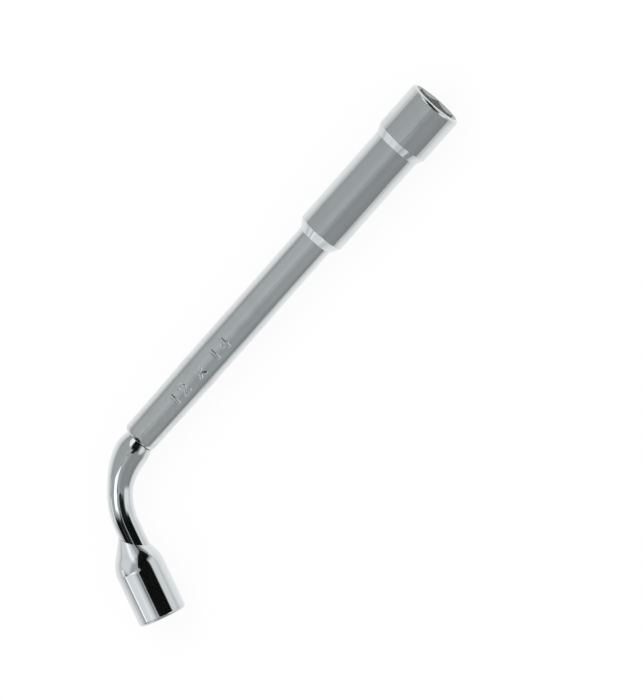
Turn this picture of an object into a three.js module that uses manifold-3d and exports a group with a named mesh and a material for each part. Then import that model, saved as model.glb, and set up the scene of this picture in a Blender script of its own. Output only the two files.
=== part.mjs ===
// L-shaped socket wrench: a hexagon socket on each end of a round, bent shank.
// It is built up from turned pieces, each keyed into the next by a hexagon and brazed there.
// Millimetres, +Z up. The wrench lies flat with its long arm along +X and its short arm turned
// off towards -Y, and the origin is on the surface below the middle of the whole wrench.
import * as THREE from 'three';
import { mergeVertices } from 'three/addons/utils/BufferGeometryUtils.js';
import Module from 'manifold-3d';

const wasm = await Module();
wasm.setup();

// Nuts, by their size across flats, and the clearance of each fit
const straightNutSize = 14;
const bentNutSize = 12;
const nutClearance = 0.2; // a hexagon is this much wider across flats than its nut
const brazeGap = 0.1; // all round a keyed end and between the faces of two pieces

// Straight socket, from the face against the sleeve to the rim
const straightSocketDiameter = 20;
const straightSocketLength = 20.6;
const straightShoulderLength = 3; // cone from the sleeve's diameter up to the socket's
const straightNutDepth = 12;

// Sleeve behind the straight socket, with room in it for the end of a long stud
const sleeveDiameter = 17.4;
const sleeveLength = 42.4;
const sleeveShoulderLength = 3.4; // cone from the shank's diameter up to the sleeve's
const studBoreDiameter = 10.8;

// Shank
const shankDiameter = 13.2;
const shankLength = 92.4;
const shankEndDiameter = 12.4; // at the bend
const shankTaperLength = 31;
const shankKeySize = 10; // across flats, in the sleeve
const shankKeyLength = 14;

// Bent neck between the shank and the bent socket
const bendAngle = THREE.MathUtils.degToRad(113.5); // between the two arms
const bendRadius = 27; // of the centre line
const neckStartDiameter = 12.2;
const neckEndDiameter = 8.9;
const neckSideStep = 0.7; // the neck's axis starts this far inside the shank's
const neckCollarLength = 0.4; // straight before the bend begins
const neckTaperLength = 18; // from the start diameter down to the end diameter
const neckStraightLength = 17; // from the bend to the end inside the bent socket
const neckKeySize = 7; // across flats, in the shank
const neckKeyLength = 12;

// Bent socket, whose axis lies outside the neck's
const bentSocketDiameter = 17.4;
const bentSocketLength = 21.6; // parallel, up to the rim
const bentBackLength = 9.6; // cone behind the parallel length
const bentShoulderRadius = 12; // rounding between the two
const bentNutDepth = 12.5;
const neckOffset = 2.2;
const neckSeatDepth = 5.2; // of the neck's end past the foot of the cone

// Edges
const rimEdge = 1.1; // rounding outside each rim
const mouthLead = 0.9; // depth of the cone that leads a nut in
const mouthMargin = 0.15; // how far that cone clears the corners of the hexagon
const seamEdgeLength = 1.7; // rounding of the two edges where shank and neck meet, along the bar
const seamEdgeDepth = 0.9; // and into it
const floorConeDepth = 2; // drill point under the bent socket's hexagon

// Facets
const roundSegments = 48;
const edgeSteps = 3; // half the facets of a quarter round
const bendRings = 24;
const endRings = 3;
const overrun = 1; // cutters reach this far out of what they cut
const mergeTolerance = 1e-4;

// Where the pieces start along their arms, measured from the crossing of the two axes
const deflection = Math.PI - bendAngle;
const bendTangent = bendRadius * Math.tan(deflection / 2);
const bendLength = bendRadius * deflection;
const neckStart = bendTangent + neckCollarLength;
const shankStart = neckStart + brazeGap;
const sleeveStart = shankStart + shankLength + brazeGap;
const straightSocketStart = sleeveStart + sleeveLength + brazeGap;
const neckEnd = bendTangent + neckStraightLength;
const bentSocketStart = neckEnd + brazeGap - neckSeatDepth;

const straightHexagon = straightNutSize + nutClearance;
const bentHexagon = bentNutSize + nutClearance;

// Half the distance over the corners of a hexagon of this size across flats.
function cornerRadius(acrossFlats) {
  return acrossFlats / Math.sqrt(3);
}

// A closed solid for joining and cutting, from any closed geometry.
function solidOf(geometry) {
  const bare = geometry.clone();
  bare.deleteAttribute('normal');
  bare.deleteAttribute('uv');
  const merged = mergeVertices(bare, mergeTolerance);
  const triangles = [];
  for (let i = 0; i < merged.index.count; i += 3) {
    const [a, b, c] = [0, 1, 2].map((corner) => merged.index.getX(i + corner));
    if (a !== b && b !== c && c !== a) triangles.push(a, b, c);
  }
  return new wasm.Manifold(
    new wasm.Mesh({
      numProp: 3,
      vertProperties: merged.attributes.position.array,
      triVerts: Uint32Array.from(triangles),
    }),
  );
}

// A mesh of a finished solid, with the bright chrome that covers the whole wrench.
function chromeMesh(name, solid) {
  const { vertProperties, triVerts } = solid.getMesh();
  const geometry = new THREE.BufferGeometry();
  geometry.setAttribute('position', new THREE.BufferAttribute(vertProperties, 3));
  geometry.setIndex(new THREE.BufferAttribute(triVerts, 1));
  geometry.computeVertexNormals();
  const chrome = new THREE.MeshStandardMaterial({ color: 0xb9bdbd, roughness: 0.1, metalness: 1 });
  const mesh = new THREE.Mesh(geometry, chrome);
  mesh.name = name;
  return mesh;
}

// Turns an outline of radius against distance round the X axis.
function turned(outline) {
  const lathe = new THREE.LatheGeometry(outline.getPoints(edgeSteps), roundSegments);
  return solidOf(lathe.rotateZ(-Math.PI / 2));
}

// A round bar along X.
function roundBar(diameter, start, length) {
  const radius = diameter / 2;
  const bar = new THREE.CylinderGeometry(radius, radius, length, roundSegments);
  return solidOf(bar.rotateZ(-Math.PI / 2).translate(start + length / 2, 0, 0));
}

// A hexagon bar along X, with two of its corners straight up and down.
function hexagonBar(acrossFlats, start, length) {
  const corners = [];
  for (let corner = 0; corner < 6; corner += 1) {
    const angle = (corner * Math.PI) / 3;
    corners.push(new THREE.Vector2(Math.cos(angle), Math.sin(angle)));
  }
  corners.forEach((corner) => corner.multiplyScalar(cornerRadius(acrossFlats)));
  const bar = new THREE.ExtrudeGeometry(new THREE.Shape(corners), { depth: length, bevelEnabled: false });
  return solidOf(bar.rotateY(Math.PI / 2).translate(start, 0, 0));
}

// The cone at a rim that leads the nut into its hexagon.
function mouthCone(acrossFlats, rim) {
  const flat = acrossFlats / 2;
  const mouth = cornerRadius(acrossFlats) + mouthMargin;
  const outline = new THREE.Path()
    .moveTo(0, rim - mouthLead)
    .lineTo(flat, rim - mouthLead)
    .lineTo(mouth, rim)
    .lineTo(mouth, rim + overrun)
    .lineTo(0, rim + overrun);
  return turned(outline);
}

// Adds a socket's rounded rim to its outline and closes the outline on the axis.
function closeAtRim(outline, radius, rim) {
  return outline
    .lineTo(radius, rim - rimEdge)
    .absarc(radius - rimEdge, rim - rimEdge, rimEdge, 0, Math.PI / 2, false)
    .lineTo(0, rim);
}

// Socket with a hexagon broached right through: its back end is keyed on the sleeve.
function straightSocket() {
  const radius = straightSocketDiameter / 2;
  const outline = new THREE.Path()
    .moveTo(0, 0)
    .lineTo(sleeveDiameter / 2, 0)
    .lineTo(radius, straightShoulderLength);
  const body = turned(closeAtRim(outline, radius, straightSocketLength))
    .subtract(hexagonBar(straightHexagon, -overrun, straightSocketLength + 2 * overrun))
    .subtract(mouthCone(straightHexagon, straightSocketLength));
  const mesh = chromeMesh('straight_socket', body);
  mesh.position.x = straightSocketStart;
  return mesh;
}

// Tube between the shank and the straight socket, with a hexagon spigot that stops the nut.
function socketSleeve() {
  const radius = sleeveDiameter / 2;
  const keyDepth = shankKeyLength + brazeGap;
  const spigotLength = straightSocketLength + brazeGap - straightNutDepth;
  const front = sleeveLength + spigotLength;
  const outline = new THREE.Path()
    .moveTo(0, 0)
    .lineTo(shankDiameter / 2, 0)
    .lineTo(radius, sleeveShoulderLength)
    .lineTo(radius, sleeveLength)
    .lineTo(0, sleeveLength);
  const spigot = hexagonBar(straightHexagon - 2 * brazeGap, keyDepth, front - keyDepth);
  const body = turned(outline)
    .add(spigot)
    .subtract(hexagonBar(shankKeySize + 2 * brazeGap, -overrun, keyDepth + overrun))
    .subtract(roundBar(studBoreDiameter, keyDepth, front - keyDepth + overrun));
  const mesh = chromeMesh('socket_sleeve', body);
  mesh.position.x = sleeveStart;
  return mesh;
}

// Round bar, a little slimmer towards the bend, keyed into the sleeve and bored for the neck.
function shankBar() {
  const face = shankEndDiameter / 2 - seamEdgeDepth;
  const keyReach = brazeGap + shankKeyLength; // the key is rooted in the bar as far as it stands out
  const outline = new THREE.Path()
    .moveTo(0, 0)
    .lineTo(face, 0)
    .absellipse(face, seamEdgeLength, seamEdgeDepth, seamEdgeLength, -Math.PI / 2, 0, false)
    .lineTo(shankDiameter / 2, shankTaperLength)
    .lineTo(shankDiameter / 2, shankLength)
    .lineTo(0, shankLength);
  const keyHole = hexagonBar(neckKeySize + 2 * brazeGap, -overrun, neckKeyLength + brazeGap + overrun);
  const body = turned(outline)
    .add(hexagonBar(shankKeySize, shankLength - keyReach, 2 * keyReach))
    .subtract(keyHole.translate([0, -neckSideStep, 0]));
  const mesh = chromeMesh('shank_bar', body);
  mesh.position.x = shankStart;
  return mesh;
}

// Point and heading of the neck's centre line at a distance along it from the shank.
function neckStation(distance) {
  if (distance <= neckCollarLength) {
    return { point: new THREE.Vector3(neckStart - distance, 0, 0), heading: Math.PI };
  }
  const turn = Math.min((distance - neckCollarLength) / bendRadius, deflection);
  const heading = Math.PI + turn;
  const straight = Math.max(distance - neckCollarLength - bendLength, 0);
  const point = new THREE.Vector3(
    bendTangent - bendRadius * Math.sin(turn) + straight * Math.cos(heading),
    bendRadius * (Math.cos(turn) - 1) + straight * Math.sin(heading),
    0,
  );
  return { point, heading };
}

// Radius of the neck there: a rounded edge at the shank, then a smooth taper.
function neckRadius(distance) {
  const share = THREE.MathUtils.smoothstep(distance, 0, neckTaperLength);
  const radius = THREE.MathUtils.lerp(neckStartDiameter, neckEndDiameter, share) / 2;
  const short = Math.max(1 - distance / seamEdgeLength, 0);
  return radius - seamEdgeDepth * (1 - Math.sqrt(1 - short ** 2));
}

// Distances along the neck at which it gets a ring of points.
function neckRings() {
  const rings = [];
  const facets = 2 * edgeSteps;
  for (let i = 0; i < facets; i += 1) {
    rings.push(seamEdgeLength * (1 - Math.cos((i * Math.PI) / 2 / facets)));
  }
  const bendEnd = neckCollarLength + bendLength;
  for (let i = 0; i <= bendRings; i += 1) {
    rings.push(THREE.MathUtils.lerp(seamEdgeLength, bendEnd, i / bendRings));
  }
  for (let i = 1; i <= endRings; i += 1) {
    rings.push(bendEnd + (neckStraightLength * i) / endRings);
  }
  return rings;
}

// Rings of points round the centre line, skinned and closed at both ends.
function neckSkin() {
  const rings = neckRings();
  const points = [];
  const faces = [];
  rings.forEach((distance) => {
    const { point, heading } = neckStation(distance);
    const side = new THREE.Vector3(-Math.sin(heading), Math.cos(heading), 0);
    for (let j = 0; j < roundSegments; j += 1) {
      const angle = (2 * Math.PI * j) / roundSegments;
      const rim = side.clone().multiplyScalar(Math.cos(angle));
      rim.z = Math.sin(angle);
      points.push(...point.clone().addScaledVector(rim, neckRadius(distance)));
    }
  });
  const last = rings.length - 1;
  const firstCentre = rings.length * roundSegments;
  points.push(...neckStation(rings[0]).point, ...neckStation(rings[last]).point);
  for (let j = 0; j < roundSegments; j += 1) {
    const next = (j + 1) % roundSegments;
    for (let i = 0; i < last; i += 1) {
      const here = i * roundSegments;
      const ahead = here + roundSegments;
      faces.push(here + j, here + next, ahead + next, here + j, ahead + next, ahead + j);
    }
    const end = last * roundSegments;
    faces.push(firstCentre, next, j, firstCentre + 1, end + j, end + next);
  }
  const geometry = new THREE.BufferGeometry();
  geometry.setAttribute('position', new THREE.Float32BufferAttribute(points, 3));
  geometry.setIndex(faces);
  return solidOf(geometry);
}

// Tapered bar round the bend: its hexagon key sits in the shank, its plain end in the socket.
function bentNeck() {
  const key = hexagonBar(neckKeySize, bendTangent, neckStart - bendTangent + brazeGap + neckKeyLength);
  return chromeMesh('bent_neck', neckSkin().add(key));
}

// Socket with a conical back, bored off centre there so that the neck can't turn in it.
function bentSocket() {
  const radius = bentSocketDiameter / 2;
  const hexagonFloor = bentSocketLength - bentNutDepth;
  const backTip = neckEndDiameter / 2 - neckOffset; // the cone runs out on the neck's outer side
  const slope = Math.atan2(radius - backTip, bentBackLength);
  const shoulderEnd = bentShoulderRadius * Math.tan(slope / 2);
  const outline = new THREE.Path()
    .moveTo(0, -bentBackLength)
    .lineTo(backTip, -bentBackLength)
    .absarc(radius - bentShoulderRadius, shoulderEnd, bentShoulderRadius, -slope, 0, false);
  const floorCone = new THREE.Path()
    .moveTo(0, hexagonFloor - floorConeDepth)
    .lineTo(bentHexagon / 2, hexagonFloor)
    .lineTo(bentHexagon / 2, hexagonFloor + overrun)
    .lineTo(0, hexagonFloor + overrun);
  const seatLength = bentBackLength + overrun + neckSeatDepth;
  const seat = roundBar(neckEndDiameter + 2 * brazeGap, neckSeatDepth - seatLength, seatLength);
  const body = turned(closeAtRim(outline, radius, bentSocketLength))
    .subtract(seat.translate([0, neckOffset, 0]))
    .subtract(hexagonBar(bentHexagon, hexagonFloor, bentNutDepth + overrun))
    .subtract(turned(floorCone))
    .subtract(mouthCone(bentHexagon, bentSocketLength));
  const mesh = chromeMesh('bent_socket', body);
  mesh.position.set(bentSocketStart, -neckOffset, 0);
  return mesh;
}

// The two arms and the neck between them, lying on the XY plane about the origin.
function wrench() {
  const longArm = new THREE.Group();
  longArm.add(straightSocket(), socketSleeve(), shankBar());
  const shortArm = new THREE.Group();
  shortArm.add(bentSocket());
  shortArm.rotation.z = -bendAngle;
  const bend = new THREE.Group();
  bend.add(bentNeck(), shortArm);
  bend.position.y = -neckSideStep;
  const tool = new THREE.Group();
  tool.add(longArm, bend);
  const box = new THREE.Box3().setFromObject(tool, true);
  const middle = box.getCenter(new THREE.Vector3());
  tool.position.set(-middle.x, -middle.y, -box.min.z);
  const part = new THREE.Group();
  part.add(tool);
  return part;
}

export default wrench();
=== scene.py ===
"""Looks of an L-shaped socket wrench: bright chrome pieces, a raised size mark and a white studio."""

import logging
import math
from dataclasses import dataclass, replace
from enum import Enum
from typing import Any, Callable

import bmesh
import bpy
from mathutils import Matrix, Vector


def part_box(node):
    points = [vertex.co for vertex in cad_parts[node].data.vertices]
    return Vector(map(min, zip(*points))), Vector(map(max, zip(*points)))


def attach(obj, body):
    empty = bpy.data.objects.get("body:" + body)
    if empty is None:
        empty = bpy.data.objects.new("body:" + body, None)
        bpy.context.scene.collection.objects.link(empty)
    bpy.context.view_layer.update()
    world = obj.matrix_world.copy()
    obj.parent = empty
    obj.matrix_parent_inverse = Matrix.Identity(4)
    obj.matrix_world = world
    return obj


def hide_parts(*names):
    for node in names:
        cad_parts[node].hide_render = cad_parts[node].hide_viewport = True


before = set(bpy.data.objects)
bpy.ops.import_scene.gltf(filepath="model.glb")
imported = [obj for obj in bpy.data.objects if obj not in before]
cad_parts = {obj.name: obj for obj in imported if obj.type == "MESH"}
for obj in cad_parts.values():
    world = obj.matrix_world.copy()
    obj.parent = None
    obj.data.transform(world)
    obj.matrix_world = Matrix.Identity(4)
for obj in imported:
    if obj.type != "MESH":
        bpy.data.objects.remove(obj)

LOG = logging.getLogger("socket_wrench")
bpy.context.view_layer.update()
BODY = "root"

MM = 0.001
COLUMNS = 192  # points round every turned piece
EDGE_STEPS = 8  # facets of a quarter round
HOLD = 0.12 * MM  # a ring this close to a rounded edge keeps the long face beside it true
SHARP_ANGLE = math.radians(28)
QUARTER = math.pi / 2
SIXTH = math.pi / 3
CROWDING = 0.72  # how much the columns of a hexagon crowd towards its corners, from 0 to 1
WHITE = (1.0, 1.0, 1.0, 1.0)


class Skin(Enum):
    """The finishes that a turned piece can carry, by material index."""

    OUTSIDE = 0
    BORE = 1
    RIM = 2


class Closing(Enum):
    """How the first and the last ring of a turned piece are closed."""

    ENDS = "each end by a flat disc"
    LOOP = "the last ring joins the first"


@dataclass(frozen=True)
class Ring:
    """One ring of points of a turned piece, in the piece's own frame with X along its axis."""

    points: tuple[Vector, ...]
    skin: Skin = Skin.OUTSIDE  # of the faces that lead up to it
    edge: float = 0.0  # how much of an edge it is, from 0 to 1


Outline = list[tuple[float, float]]  # points of distance along the axis and radius


def turn_angle(column: int) -> float:
    """Angle of a column of points, from straight up towards +Y."""
    return 2 * math.pi * column / COLUMNS


def ring_point(u: float, radius: float, angle: float, shift: float = 0.0) -> Vector:
    """A point at a distance along the axis, about a centre that is shifted towards +Y."""
    return Vector((u, shift + radius * math.sin(angle), radius * math.cos(angle)))


def round_ring(u: float, radius: float, skin: Skin = Skin.OUTSIDE, edge: float = 0.0) -> Ring:
    """A circle of points square to the axis, at a distance along it."""
    return Ring(tuple(ring_point(u, radius, turn_angle(column)) for column in range(COLUMNS)), skin, edge)


def hexagon_angle(column: int) -> float:
    """Angle of a column on a hexagon.

    Args:
        column: Number of the column.

    Returns:
        The angle, where columns crowd towards the six rounded corners.
    """
    side, share = divmod(column / (COLUMNS / 6), 1.0)
    crowded = share - CROWDING * math.sin(2 * math.pi * share) / (2 * math.pi)
    return (side + crowded) * SIXTH


def hexagon_radius(across_flats: float, angle: float, corner: float = 0.35 * MM) -> float:
    """Distance from the axis to a hexagon with rounded corners, two of them straight up and down.

    Args:
        across_flats: Size of the hexagon.
        angle: Direction, from straight up.
        corner: Radius of the rounding in the corners.

    Returns:
        The distance.
    """
    flat = across_flats / 2
    off_corner = (angle + SIXTH / 2) % SIXTH - SIXTH / 2
    off_flat = SIXTH / 2 - abs(off_corner)
    start = math.atan((flat - corner) * math.tan(SIXTH / 2) / flat)
    if off_flat <= start:
        return flat / math.cos(off_flat)
    centre = (flat - corner) / math.cos(SIXTH / 2)
    return centre * math.cos(off_corner) + math.sqrt(corner**2 - (centre * math.sin(off_corner)) ** 2)


def hexagon_ring(
    across_flats: float, depth: float | Callable[[float], float], skin: Skin = Skin.OUTSIDE, shift: float = 0.0
) -> Ring:
    """A hexagon of points, whose distance along the axis may follow its radius.

    Args:
        across_flats: Size of the hexagon.
        depth: Distance along the axis, or what gives it for a radius.
        skin: Finish of the faces that lead up to this ring.
        shift: How far the centre lies off the axis, towards +Y.

    Returns:
        The ring.
    """
    points = []
    for column in range(COLUMNS):
        angle = hexagon_angle(column)
        radius = hexagon_radius(across_flats, angle)
        u = depth(radius) if callable(depth) else depth
        points.append(ring_point(u, radius, angle, shift))
    return Ring(tuple(points), skin)


def rounded(corners: Outline, radii: list[float]) -> list[tuple[float, float, float]]:
    """Rounds the inner corners of an outline, and holds the straight stretches between them.

    Args:
        corners: Corners of the outline.
        radii: Rounding at each corner but the first and the last.

    Returns:
        Points of distance, radius and how much of an edge they are.
    """
    points = [(*corners[0], 0.0)]
    for before, corner, after, radius in zip(corners, corners[1:], corners[2:], radii):
        here = Vector(corner)
        back = (Vector(before) - here).normalized()
        ahead = (Vector(after) - here).normalized()
        half = back.angle(ahead) / 2
        reach = radius / math.tan(half)
        middle = here + (back + ahead).normalized() * (radius / math.sin(half))
        first = here + back * reach
        sweep = math.pi - 2 * half
        steps = max(2, round(EDGE_STEPS * sweep / QUARTER))
        turn = 1.0 if back.x * ahead.y - back.y * ahead.x < 0 else -1.0
        points.append((*(first + back * HOLD), 0.0))
        for step in range(steps + 1):
            arm = Matrix.Rotation(turn * sweep * step / steps, 2) @ (first - middle)
            points.append((*(middle + arm), 1.0))
        points.append((*(here + ahead * (reach + HOLD)), 0.0))
    points.append((*corners[-1], 0.0))
    return points


def quarter_round(start: tuple[float, float], end: tuple[float, float], steps: int) -> Outline:
    """A quarter of an ellipse, which leaves its start square to the axis and reaches its end along it.

    Args:
        start: Distance along the axis and radius where it starts.
        end: The same where it ends.
        steps: Facets.

    Returns:
        The outline.
    """
    turns = [QUARTER * step / steps for step in range(steps + 1)]
    run, rise = end[0] - start[0], end[1] - start[1]
    return [(start[0] + run * (1 - math.cos(turn)), start[1] + rise * math.sin(turn)) for turn in turns]


def turned_rings(corners: Outline, radii: list[float]) -> list[Ring]:
    """Rings of a turned outside in its outline's order, with its inner corners rounded."""
    return [round_ring(u, radius, Skin.OUTSIDE, edge) for u, radius, edge in rounded(corners, radii)]


def bore_rings(rim: float, across_flats: float, mouth: float, lead: float, floor: float) -> list[Ring]:
    """The lead-in cone of a socket and the hexagon behind it.

    Args:
        rim: Where the rim is, along the axis.
        across_flats: Size of the hexagon.
        mouth: Radius of the cone at the rim.
        lead: Depth of the cone on the flats of the hexagon.
        floor: Where the hexagon ends.

    Returns:
        The rings, from the rim inwards.
    """
    slope = lead / (mouth - across_flats / 2)
    return [
        round_ring(rim, mouth, Skin.RIM),
        hexagon_ring(across_flats, lambda radius: rim - (mouth - radius) * slope, Skin.RIM),
        hexagon_ring(across_flats, floor, Skin.BORE),
    ]


def link_piece(name: str, mesh: bpy.types.Mesh) -> bpy.types.Object:
    """Puts a finished mesh into the scene.

    Args:
        name: Name of the object.
        mesh: The mesh.

    Returns:
        The object.
    """
    piece = bpy.data.objects.new(name, mesh)
    bpy.context.scene.collection.objects.link(piece)
    return piece


def smooth(mesh: bpy.types.Mesh) -> None:
    """Shades a mesh smooth except at sharp edges."""
    mesh.shade_smooth()
    mesh.set_sharp_from_angle(angle=SHARP_ANGLE)


def skin_mesh(name: str, rings: list[Ring], closing: Closing, place: Matrix) -> bpy.types.Mesh:
    """Skins rings into one closed mesh, with what its finish needs to follow the surface.

    Args:
        name: Name of the mesh.
        rings: Rings in order, each with COLUMNS points.
        closing: How the first and the last ring are closed.
        place: From the piece's own frame to the wrench's.

    Returns:
        The mesh, smooth except at sharp edges.
    """
    shape = bmesh.new()
    along = shape.verts.layers.float.new("along")
    edge = shape.verts.layers.float.new("edge")
    round_it = shape.verts.layers.float_vector.new("ring")
    rows = []
    for ring in rings:
        row = []
        for point in ring.points:
            vert = shape.verts.new(place @ point)
            vert[along] = point.x
            vert[edge] = ring.edge
            vert[round_it] = Vector((point.y, point.z, 0)).normalized()
            row.append(vert)
        rows.append((row, ring.skin))
    pairs = list(zip(rows, rows[1:]))
    if closing is Closing.LOOP:
        pairs.append((rows[-1], rows[0]))
    for (row, _), (ahead, skin) in pairs:
        for column in range(COLUMNS):
            following = (column + 1) % COLUMNS
            face = shape.faces.new((row[column], row[following], ahead[following], ahead[column]))
            face.material_index = skin.value
    if closing is Closing.ENDS:
        shape.faces.new(rows[0][0])
        shape.faces.new(rows[-1][0])
    bmesh.ops.recalc_face_normals(shape, faces=shape.faces)
    mesh = bpy.data.meshes.new(name)
    shape.to_mesh(mesh)
    shape.free()
    smooth(mesh)
    return mesh


def node_operator(operation: str, swapped: bool = False) -> Callable[["Term", Any], "Term"]:
    """Makes an operator of Term.

    Args:
        operation: Blender's name of the operation.
        swapped: Whether the term stands on the operator's right.

    Returns:
        The operator.
    """

    def operate(term: "Term", other: Any) -> "Term":
        """Adds the operation's node to the term's tree."""
        return term.graph.math(operation, *((other, term) if swapped else (term, other)))

    return operate


@dataclass(frozen=True, eq=False)
class Term:
    """An output of a node, on which signs such as + and * add further nodes."""

    graph: "Graph"
    socket: bpy.types.NodeSocket

    __add__ = __radd__ = node_operator("ADD")
    __mul__ = __rmul__ = node_operator("MULTIPLY")
    __sub__ = node_operator("SUBTRACT")
    __rsub__ = node_operator("SUBTRACT", swapped=True)
    __truediv__ = node_operator("DIVIDE")
    __gt__ = node_operator("GREATER_THAN")
    __lt__ = node_operator("LESS_THAN")


class Graph:
    """A node tree under construction, with short calls for its nodes, values and links."""

    def __init__(self, tree: bpy.types.NodeTree) -> None:
        """Starts on a tree, which keeps the nodes that it has."""
        self.tree = tree
        self.given: dict[str, Term] = {}  # a group's inputs by name

    def node(self, kind: str, values: dict[str, Any] | None = None, **settings: Any) -> bpy.types.Node:
        """Adds a node.

        Args:
            kind: Blender's name of the node type.
            values: Values or terms for the node's inputs, by name.
            **settings: Properties of the node.

        Returns:
            The node.
        """
        made = self.tree.nodes.new(kind)
        for name, setting in settings.items():
            setattr(made, name, setting)
        for name, value in (values or {}).items():
            in_use = next(found for found in made.inputs if found.name == name and found.enabled)
            self.feed(in_use, value)
        return made

    def term(self, kind: str, output: str, values: dict[str, Any] | None = None, **settings: Any) -> Term:
        """Adds a node as node does, and takes the output of this name."""
        return Term(self, self.node(kind, values, **settings).outputs[output])

    def feed(self, socket: bpy.types.NodeSocket, value: Any) -> None:
        """Links a term to an input, or sets the input's own value.

        Args:
            socket: The input.
            value: The term or value.
        """
        if isinstance(value, Term):
            self.tree.links.new(value.socket, socket)
        else:
            socket.default_value = value

    def operate(self, kind: str, operation: str, terms: tuple[Any, ...]) -> bpy.types.Node:
        """Adds a node that calculates.

        Args:
            kind: Blender's name of the node type.
            operation: Blender's name of the operation.
            terms: Values or terms, in the order of the node's inputs.

        Returns:
            The node.
        """
        made = self.node(kind, operation=operation)
        for socket, term in zip(made.inputs, terms):
            self.feed(socket, term)
        return made

    def math(self, operation: str, *terms: Any) -> Term:
        """Works out a number from one to three terms."""
        return Term(self, self.operate("ShaderNodeMath", operation, terms).outputs[0])

    def vector(self, operation: str, *terms: Any) -> Term:
        """Works out a vector, or for a length or a dot product a number."""
        output = "Value" if operation in ("DOT_PRODUCT", "LENGTH") else "Vector"
        return Term(self, self.operate("ShaderNodeVectorMath", operation, terms).outputs[output])

    def scaled(self, vector: Any, factor: Any) -> Term:
        """Multiplies a vector by a number.

        Args:
            vector: The vector or its term.
            factor: The number or its term.

        Returns:
            The product.
        """
        made = self.node("ShaderNodeVectorMath", operation="SCALE")
        self.feed(made.inputs["Vector"], vector)
        self.feed(made.inputs["Scale"], factor)
        return Term(self, made.outputs["Vector"])

    def ramp(self, value: Any, low: Any, high: Any, start: Any = 0.0, end: Any = 1.0) -> Term:
        """A smooth step of a value.

        Args:
            value: The value.
            low: Where the step begins.
            high: Where the step ends.
            start: The result below low.
            end: The result above high.

        Returns:
            The result.
        """
        ends = {"Value": value, "From Min": low, "From Max": high, "To Min": start, "To Max": end}
        return self.term("ShaderNodeMapRange", "Result", ends, interpolation_type="SMOOTHSTEP")

    def blend(self, share: Any, under: Any, over: Any) -> Term:
        """Mixes two colours.

        Args:
            share: How much of the second colour there is, from 0 to 1.
            under: The first colour.
            over: The second colour.

        Returns:
            The mixed colour.
        """
        made = self.node("ShaderNodeMix", data_type="RGBA")
        for name, value in (("Factor", share), ("A", under), ("B", over)):
            self.feed(next(found for found in made.inputs if found.name == name and found.enabled), value)
        return Term(self, next(found for found in made.outputs if found.enabled))

    def rays(self, *kinds: str) -> Term:
        """Tells rays apart.

        Args:
            *kinds: Kinds of rays, such as Glossy.

        Returns:
            1 for rays of these kinds and 0 for others.
        """
        path = self.node("ShaderNodeLightPath").outputs
        found = Term(self, path[f"Is {kinds[0]} Ray"])
        for kind in kinds[1:]:
            found = self.math("MAXIMUM", found, Term(self, path[f"Is {kind} Ray"]))
        return found

    def effect(self, group: bpy.types.NodeTree, values: dict[str, Any]) -> Term:
        """Places a shared effect in a material and takes its mask."""
        return self.term("ShaderNodeGroup", "Mask", values, node_tree=group)

    def store(self, geometry: Term, name: str, value: Term, data_type: str = "FLOAT") -> Term:
        """Stores a value on the points of a geometry and takes the geometry that has it."""
        values = {"Geometry": geometry, "Name": name, "Value": value}
        return self.term("GeometryNodeStoreNamedAttribute", "Geometry", values, data_type=data_type, domain="POINT")

    def stored(self, name: str) -> Term:
        """A number that store has put on the points."""
        return self.term("GeometryNodeInputNamedAttribute", "Attribute", {"Name": name}, data_type="FLOAT")

    def result(self, value: Term) -> bpy.types.NodeTree:
        """Puts a term out of the group and returns the group."""
        self.feed(self.tree.nodes["Group Output"].inputs[0], value)
        return self.tree


class TreeKind(Enum):
    """What a node group makes: its tree type, and the name and type of its output."""

    EFFECT = ("ShaderNodeTree", "Mask", "NodeSocketFloat")
    SHAPE = ("GeometryNodeTree", "Geometry", "NodeSocketGeometry")


SOCKET_TYPES = {
    float: "NodeSocketFloat",
    int: "NodeSocketInt",
    str: "NodeSocketString",
    Vector: "NodeSocketVector",
    bpy.types.Material: "NodeSocketMaterial",
}


def new_group(name: str, kind: TreeKind, inputs: dict[str, Any]) -> Graph:
    """Starts a node group with named inputs.

    Args:
        name: Name of the group.
        kind: What it makes.
        inputs: A value for each input by name, from which the input's type follows.

    Returns:
        The group under construction, with its inputs at hand.
    """
    tree_type, output, output_type = kind.value
    tree = bpy.data.node_groups.new(name, tree_type)
    for socket, value in inputs.items():
        socket_type = next(found for base, found in SOCKET_TYPES.items() if isinstance(value, base))
        tree.interface.new_socket(socket, in_out="INPUT", socket_type=socket_type)
    tree.interface.new_socket(output, in_out="OUTPUT", socket_type=output_type)
    graph = Graph(tree)
    graph.node("NodeGroupOutput")
    given = graph.node("NodeGroupInput").outputs
    graph.given = {socket: Term(graph, given[socket]) for socket in inputs}
    return graph


LINE_STEP = (0.3, 0.7)  # where a noise turns from no mark to a full mark
HAZE_STEP = (-0.08, 0.22)
WEAR_STEP = (0.42, 0.68)


def polish_group() -> bpy.types.NodeTree:
    """Fine lines that a polishing belt leaves along a piece.

    Returns:
        The effect, whose mask goes from 0 to 1.
    """
    inputs = {"Along": 0.0, "Ring": Vector(), "Lines Round": 0.0, "Lines Along": 0.0}
    graph = new_group("polishing lines", TreeKind.EFFECT, inputs)
    given = graph.given
    run = graph.term("ShaderNodeCombineXYZ", "Vector", {"Z": given["Along"] * given["Lines Along"]})
    place = graph.vector("ADD", graph.scaled(given["Ring"], given["Lines Round"]), run)
    values = {"Vector": place, "Scale": 1.0, "Detail": 3.0, "Roughness": 0.55}
    return graph.result(graph.ramp(graph.term("ShaderNodeTexNoise", "Fac", values), *LINE_STEP))


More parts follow.
